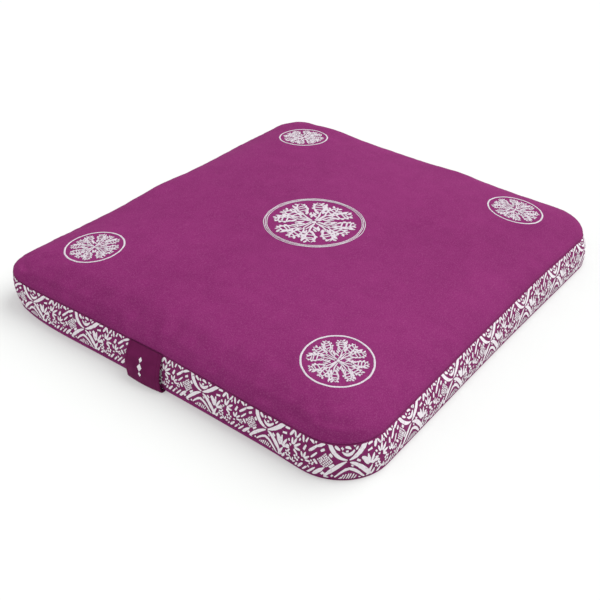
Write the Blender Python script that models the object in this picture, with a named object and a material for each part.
"""A zabuton: a rectangular filled floor cushion with a crowned top, a sewn-on side band of
printed cloth and a loop handle of folded cloth at the middle of one short side.

Frame: the floor is z = 0, the origin is the middle of the flat underside, +Z is up, +Y runs
along the longer side, and the handle is on the -Y side. Every size is in metres.
"""

import math
from collections import namedtuple

import bmesh
import bpy
from mathutils import Vector

# The outline of the top seam, where the top panel meets the side band
HALF_WIDTH = 0.350
HALF_DEPTH = 0.396
SEAM_HEIGHT = 0.055

# The crown of the top panel: a rounded shoulder and a low dome on it
SHOULDER_RISE = 0.0384
SHOULDER_WIDTH = 0.148
DOME_RISE = 0.0138
DOME_START = 0.020
FOLDS_START = 0.030
MITRE_BLEND = 0.110
MITRE_GROWTH = 1.5

# The side band: printed cloth that stands out further at the floor than at the top seam
BAND_THICKNESS = 0.0020
BAND_FLARE = 0.0110
BAND_BULGE = 0.0041
SEAM_GAP = 0.00035

# The underside rolls in from the bottom seam to the flat that the cushion rests on
UNDERSIDE_ROLL = 0.0045

# The handle: a strap from the top seam to the bottom seam, leaning a little as it goes down
STRAP_THICKNESS = 0.0020
STRAP_WIDTH = 0.066
STRAP_CENTRE = -0.022
STRAP_LEAN = 0.0115
STRAP_REACH_LEFT = 0.0180
STRAP_REACH_RIGHT = 0.0164
STRAP_REACH_SWELL = 0.0025
STRAP_SWING_LEFT = 0.65
STRAP_SWING_RIGHT = 0.85
STRAP_TOP_DROP = 0.0006
STRAP_TOP_GAP = 0.00056
STRAP_FOLD_RADIUS = 0.0030
STRAP_FLOOR_GAP = 0.0006
STRAP_TUCK = 0.0008
HOLLOW_BEHIND_STRAP = 0.0022
HOLLOW_WIDTH = 0.075

# Mesh steps
HALF_ARC_STEPS = 4
STRAIGHT_STEPS = 22
SIDE_STEPS = 2 * HALF_ARC_STEPS + STRAIGHT_STEPS
SHOULDER_INSETS = (0.0, 0.0010, 0.0035, 0.0080, 0.014, 0.021, 0.029, 0.038)
BAND_ROWS = 6
UNDERSIDE_ROWS = 4
STRAP_ROWS = 14
STRAP_FOLD_ROWS = 5
STRAP_COLUMNS = 6

# How far each side is drawn in between its corners and how high its bottom seam lies, then for
# the corner that it starts at, counter-clockwise, the radius and how far its foot is pulled in
Side = namedtuple("Side", "draw_in bottom_seam radius foot_pull")
SIDES = (
    Side(draw_in=0.0040, bottom_seam=0.0088, radius=0.046, foot_pull=0.0190),
    Side(draw_in=0.0030, bottom_seam=0.0040, radius=0.072, foot_pull=0.0000),
    Side(draw_in=0.0040, bottom_seam=0.0075, radius=0.072, foot_pull=0.0000),
    Side(draw_in=0.0030, bottom_seam=0.0065, radius=0.068, foot_pull=0.0060),
)
FRONT, RIGHT, BACK, LEFT = range(4)
FOOT_PULL_WIDTH = 0.075

# Where the top seam rides up (+) or sags (-)
#        side   along   width   lift
SEAM_WAVES = (
    (FRONT, -0.260, 0.070, -0.0020),
    (FRONT, 0.020, 0.050, 0.0015),
    (FRONT, 0.190, 0.060, -0.0015),
    (RIGHT, -0.290, 0.045, -0.0015),
    (RIGHT, 0.160, 0.080, 0.0035),
    (BACK, 0.180, 0.080, -0.0020),
    (BACK, -0.130, 0.070, 0.0020),
    (LEFT, 0.120, 0.090, -0.0025),
    (LEFT, -0.210, 0.070, 0.0015),
)

# Soft troughs (-) and swells (+) of the filling under the top panel
#    x       y      turn  along  across  height
TOP_FOLDS = (
    (-0.130, -0.300, 12, 0.150, 0.040, -0.0030),
    (0.100, -0.330, 75, 0.050, 0.022, -0.0022),
    (0.215, -0.300, 60, 0.080, 0.028, -0.0026),
    (0.300, -0.230, 40, 0.045, 0.016, -0.0022),
    (0.120, 0.080, -35, 0.190, 0.060, -0.0026),
    (-0.180, 0.120, 50, 0.170, 0.060, -0.0022),
    (0.020, -0.170, 20, 0.150, 0.060, 0.0018),
    (0.190, 0.270, -60, 0.110, 0.045, -0.0020),
    (-0.260, 0.300, 30, 0.070, 0.035, -0.0018),
)


def smooth(t):
    """0 to 1 with level ends."""
    t = min(max(t, 0.0), 1.0)
    return t * t * (3 - 2 * t)


def bell(distance, width):
    """1 at no distance and near 0 past twice the width."""
    return math.exp(-((distance / width) ** 2))


def turned(vector, degrees):
    angle = math.radians(degrees)
    cos, sin = math.cos(angle), math.sin(angle)
    return Vector((vector.x * cos - vector.y * sin, vector.x * sin + vector.y * cos))


def half_length(side):
    return HALF_WIDTH if side in (FRONT, BACK) else HALF_DEPTH


def drawn_in(side, along):
    """How far a side is drawn in from its straight line, at a distance along it."""
    share = min(1.0, abs(along) / half_length(side))
    return SIDES[side].draw_in * math.cos(0.5 * math.pi * share) ** 2


def top_seam_height(side, along):
    waves = (lift * bell(along - at, width) for wave, at, width, lift in SEAM_WAVES if wave == side)
    return SEAM_HEIGHT + sum(waves)


def band_offset(side, along, share):
    """How far the band's face stands out from the top seam's line, from 0 at the bottom seam to
    1 at the top seam. The foot of a corner and the belly behind the handle are pulled in."""
    belly = 4 * share * (1 - share)
    start, end = SIDES[side], SIDES[(side + 1) % 4]
    foot = BAND_FLARE - start.foot_pull * bell(along + half_length(side), FOOT_PULL_WIDTH)
    foot -= end.foot_pull * bell(along - half_length(side), FOOT_PULL_WIDTH)
    offset = foot * (1 - share) + BAND_BULGE * belly
    if side == FRONT:
        middle = STRAP_CENTRE + 0.5 * STRAP_LEAN
        offset -= HOLLOW_BEHIND_STRAP * belly * bell(along - middle, HOLLOW_WIDTH)
    return offset


class Station:
    """One place on the top seam's outline, with its outward direction."""

    def __init__(self, side, step):
        next_side = (side + 1) % 4
        along_half, out_half = half_length(side), half_length(next_side)
        start_radius, end_radius = SIDES[side].radius, SIDES[next_side].radius
        first, last = start_radius - along_half, along_half - end_radius
        past_arc = step - HALF_ARC_STEPS
        past_straight = past_arc - STRAIGHT_STEPS
        if past_arc < 0:
            turn, foot, radius = 45 * past_arc / HALF_ARC_STEPS, first, start_radius
        elif past_straight > 0:
            turn, foot, radius = 45 * past_straight / HALF_ARC_STEPS, last, end_radius
        else:
            turn, foot, radius = 0.0, first + (last - first) * past_arc / STRAIGHT_STEPS, 0.0
        direction = turned(Vector((0.0, -1.0)), turn)
        self.side = side
        self.along = foot + radius * direction.x
        out = out_half - radius - radius * direction.y - drawn_in(side, self.along)
        self.point = turned(Vector((self.along, -out)), 90 * side)
        self.normal = turned(direction, 90 * side)
        self.top_seam = top_seam_height(side, self.along)
        own_seam = SIDES[side].bottom_seam
        other_seam = SIDES[next_side if turn > 0 else side - 1].bottom_seam
        self.bottom_seam = own_seam + 0.5 * (other_seam - own_seam) * smooth(abs(turn) / 45)

    def at(self, outward, height):
        place = self.point + self.normal * outward
        return Vector((place.x, place.y, height))

    def on_band(self, share, inward, margin=0.0):
        """A place on the band's face, or behind it, with a margin kept from both seams."""
        low, high = self.bottom_seam + margin, self.top_seam - margin
        outward = band_offset(self.side, self.along, share) - inward
        return self.at(outward, low + (high - low) * share)


def seam_stations():
    """The stations round the outline, counter-clockwise from the front left corner's middle."""
    return [Station(side, step) for side in range(4) for step in range(SIDE_STEPS)]


def depth_inside(x, y):
    """How far a point lies inside the top seam's outline, rounded where two sides are as near."""
    corner = (FRONT if x < 0 else RIGHT) if y < 0 else (BACK if x > 0 else LEFT)
    radius = SIDES[corner].radius
    over_x = abs(x) + drawn_in(RIGHT if x > 0 else LEFT, y) - HALF_WIDTH + radius
    over_y = abs(y) + drawn_in(BACK if y > 0 else FRONT, x) - HALF_DEPTH + radius
    nearest = max(over_x, over_y)
    if nearest > 0:
        return radius - math.hypot(max(over_x, 0.0), max(over_y, 0.0))
    blend = min(MITRE_BLEND, -MITRE_GROWTH * nearest)
    overlap = max(blend - abs(over_x - over_y), 0.0)
    return radius - nearest - (0.25 * overlap**2 / blend if overlap > 0 else 0.0)


def fold_height(x, y):
    """The troughs and swells of the top panel at one place."""
    total = 0.0
    for fold_x, fold_y, turn, along, across, height in TOP_FOLDS:
        local = turned(Vector((x - fold_x, y - fold_y)), -turn)
        total += height * bell(local.x, along) * bell(local.y, across)
    return total


def crown_height(x, y, depth):
    """How far the top panel rises above the top seam, at a depth inside the outline."""
    reach = min(depth / SHOULDER_WIDTH, 1.0)
    shoulder = SHOULDER_RISE * math.sqrt(1 - (1 - reach) ** 2)
    dome = DOME_RISE * max(0.0, 1 - (x / HALF_WIDTH) ** 2) * max(0.0, 1 - (y / HALF_DEPTH) ** 2)
    dome *= smooth(depth / DOME_START)
    return shoulder + dome + fold_height(x, y) * smooth(depth / FOLDS_START)


def add_ring(mesh, places):
    return [mesh.verts.new(place) for place in places]


def bridge(mesh, first, second):
    """Triangles between two closed rings of the same count. Every quad is cut the same way, so
    that the band and the cushion behind it keep the same gap where they twist."""
    for i, (a, b) in enumerate(zip(first, second)):
        next_a, next_b = first[(i + 1) % len(first)], second[(i + 1) % len(second)]
        mesh.faces.new((a, next_a, next_b))
        mesh.faces.new((a, next_b, b))


def step_round_square(column, row, half):
    """How many steps along the rim of a square grid a rim point lies, counter-clockwise."""
    if row == -half:
        return column + half
    if column == half:
        return 3 * half + row
    if row == half:
        return 5 * half - column
    return 7 * half - row


def fill_with_grid(mesh, rim, height_at):
    """Closes the rim with a grid of quads whose square rings shrink towards the middle."""
    half = SIDE_STEPS // 2
    grid = {(0, 0): mesh.verts.new((0.0, 0.0, height_at(0.0, 0.0)))}
    for ring in range(1, half + 1):
        for column in range(-ring, ring + 1):
            for row in range(-ring, ring + 1):
                if max(abs(column), abs(row)) < ring:
                    continue
                step = step_round_square(column, row, ring) * half / ring
                before = rim[int(step) % len(rim)]
                after = rim[(int(step) + 1) % len(rim)]
                if ring == half:
                    grid[column, row] = before
                    continue
                place = before.co.lerp(after.co, step - int(step)) * (ring / half)
                grid[column, row] = mesh.verts.new((place.x, place.y, height_at(place.x, place.y)))
    for column in range(-half, half):
        for row in range(-half, half):
            corners = ((column, row), (column + 1, row), (column + 1, row + 1), (column, row + 1))
            mesh.faces.new([grid[corner] for corner in corners])


def make_object(name, mesh, material):
    bmesh.ops.recalc_face_normals(mesh, faces=mesh.faces)
    data = bpy.data.meshes.new(name)
    mesh.to_mesh(data)
    mesh.free()
    data.shade_smooth()
    data.set_sharp_from_angle(angle=math.radians(40))
    data.materials.append(material)
    made = bpy.data.objects.new(name, data)
    bpy.context.scene.collection.objects.link(made)
    return made


def make_material(name, colour, roughness):
    material = bpy.data.materials.new(name)
    material.use_nodes = True
    shader = material.node_tree.nodes["Principled BSDF"]
    shader.inputs["Base Color"].default_value = (*colour, 1.0)
    shader.inputs["Roughness"].default_value = roughness
    shader.inputs["Metallic"].default_value = 0.0
    return material


def build_cushion(stations, material):
    """The filled body in its plain cloth, with a shallow recess round its side for the band."""
    mesh = bmesh.new()
    rings = []
    for row in range(UNDERSIDE_ROWS + 1):
        angle = 0.5 * math.pi * row / UNDERSIDE_ROWS
        inset, level = UNDERSIDE_ROLL * (1 - math.sin(angle)), 1 - math.cos(angle)
        places = [s.on_band(0.0, inset) for s in stations]
        for place in places:
            place.z *= level
        rings.append(add_ring(mesh, places))
    base = rings[0]
    for row in range(BAND_ROWS + 1):
        share = row / BAND_ROWS
        places = [s.on_band(share, BAND_THICKNESS + SEAM_GAP) for s in stations]
        rings.append(add_ring(mesh, places))
    for inset in SHOULDER_INSETS:
        fade = 1 - smooth(inset / SHOULDER_INSETS[-1])
        places = [s.at(-inset, SEAM_HEIGHT + fade * (s.top_seam - SEAM_HEIGHT)) for s in stations]
        for place in places:
            place.z += crown_height(place.x, place.y, inset)
        rings.append(add_ring(mesh, places))
    for lower, upper in zip(rings, rings[1:]):
        bridge(mesh, lower, upper)
    mesh.faces.new(base)
    fill_with_grid(
        mesh, rings[-1], lambda x, y: SEAM_HEIGHT + crown_height(x, y, depth_inside(x, y))
    )
    return make_object("cushion", mesh, material)


def build_side_band(stations, material):
    """The strip of printed cloth round the side: a closed ring between the two seams."""
    mesh = bmesh.new()
    faces = []
    for inward in (0.0, BAND_THICKNESS):
        rings = []
        for row in range(BAND_ROWS + 1):
            places = [s.on_band(row / BAND_ROWS, inward, SEAM_GAP) for s in stations]
            rings.append(add_ring(mesh, places))
        for lower, upper in zip(rings, rings[1:]):
            bridge(mesh, lower, upper)
        faces.append(rings)
    outer, inner = faces
    bridge(mesh, outer[0], inner[0])
    bridge(mesh, outer[-1], inner[-1])
    return make_object("side_band", mesh, material)


def strap_line(across):
    """The strap's centre line as (outward, height) from the top seam to the bottom seam, for a
    share of its width. It leaves the seam close to the band, swings out to its reach on the way
    down, and folds in under the bottom seam just above the floor."""
    half = 0.5 * STRAP_THICKNESS
    x = STRAP_CENTRE + STRAP_WIDTH * (across - 0.5)
    reach = STRAP_REACH_LEFT + (STRAP_REACH_RIGHT - STRAP_REACH_LEFT) * across
    reach += STRAP_REACH_SWELL * 4 * across * (1 - across) + half
    swing = STRAP_SWING_LEFT + (STRAP_SWING_RIGHT - STRAP_SWING_LEFT) * across
    top, bottom = top_seam_height(FRONT, x) - STRAP_TOP_DROP, STRAP_FLOOR_GAP + half
    fold_start, first = bottom + STRAP_FOLD_RADIUS, STRAP_TOP_GAP + half
    line = []
    for row in range(STRAP_ROWS):
        down = row / STRAP_ROWS
        out = math.sin(0.5 * math.pi * min(1.0, down / swing))
        line.append(Vector((first + (reach - first) * out, top + (fold_start - top) * down)))
    for row in range(STRAP_FOLD_ROWS + 1):
        angle = 0.5 * math.pi * row / STRAP_FOLD_ROWS
        out = reach - STRAP_FOLD_RADIUS * (1 - math.cos(angle))
        line.append(Vector((out, fold_start - STRAP_FOLD_RADIUS * math.sin(angle))))
    line.append(Vector((BAND_FLARE - STRAP_TUCK, bottom)))
    return line


def build_handle_loop(material):
    """The loop handle: one strap, a thick sheet along its centre lines."""
    mesh = bmesh.new()
    half = 0.5 * STRAP_THICKNESS
    sections = []
    for column in range(STRAP_COLUMNS + 1):
        across = column / STRAP_COLUMNS
        line = strap_line(across)
        outer, inner = [], []
        for row, place in enumerate(line):
            along = line[min(row + 1, len(line) - 1)] - line[max(row - 1, 0)]
            along.normalize()
            outward = Vector((-along.y, along.x)) * half
            x = STRAP_CENTRE + STRAP_WIDTH * (across - 0.5) + STRAP_LEAN * row / (len(line) - 1)
            seam_y = drawn_in(FRONT, x) - HALF_DEPTH
            for face, spot in ((outer, place + outward), (inner, place - outward)):
                face.append(mesh.verts.new((x, seam_y - spot.x, spot.y)))
        sections.append(outer + inner[::-1])
    for first, second in zip(sections, sections[1:]):
        bridge(mesh, first, second)
    for edge in (sections[0], sections[-1]):
        for row in range(len(edge) // 2 - 1):
            mesh.faces.new((edge[row], edge[row + 1], edge[-row - 2], edge[-row - 1]))
    return make_object("handle_loop", mesh, material)


def main():
    for old in list(bpy.data.objects):
        bpy.data.objects.remove(old)
    plum_cloth = make_material("plum_cloth", (0.300, 0.040, 0.180), 0.85)
    printed_cloth = make_material("printed_cloth", (0.560, 0.360, 0.480), 0.80)
    strap_cloth = make_material("strap_cloth", (0.125, 0.012, 0.068), 0.80)
    stations = seam_stations()
    build_cushion(stations, plum_cloth)
    build_side_band(stations, printed_cloth)
    build_handle_loop(strap_cloth)


main()
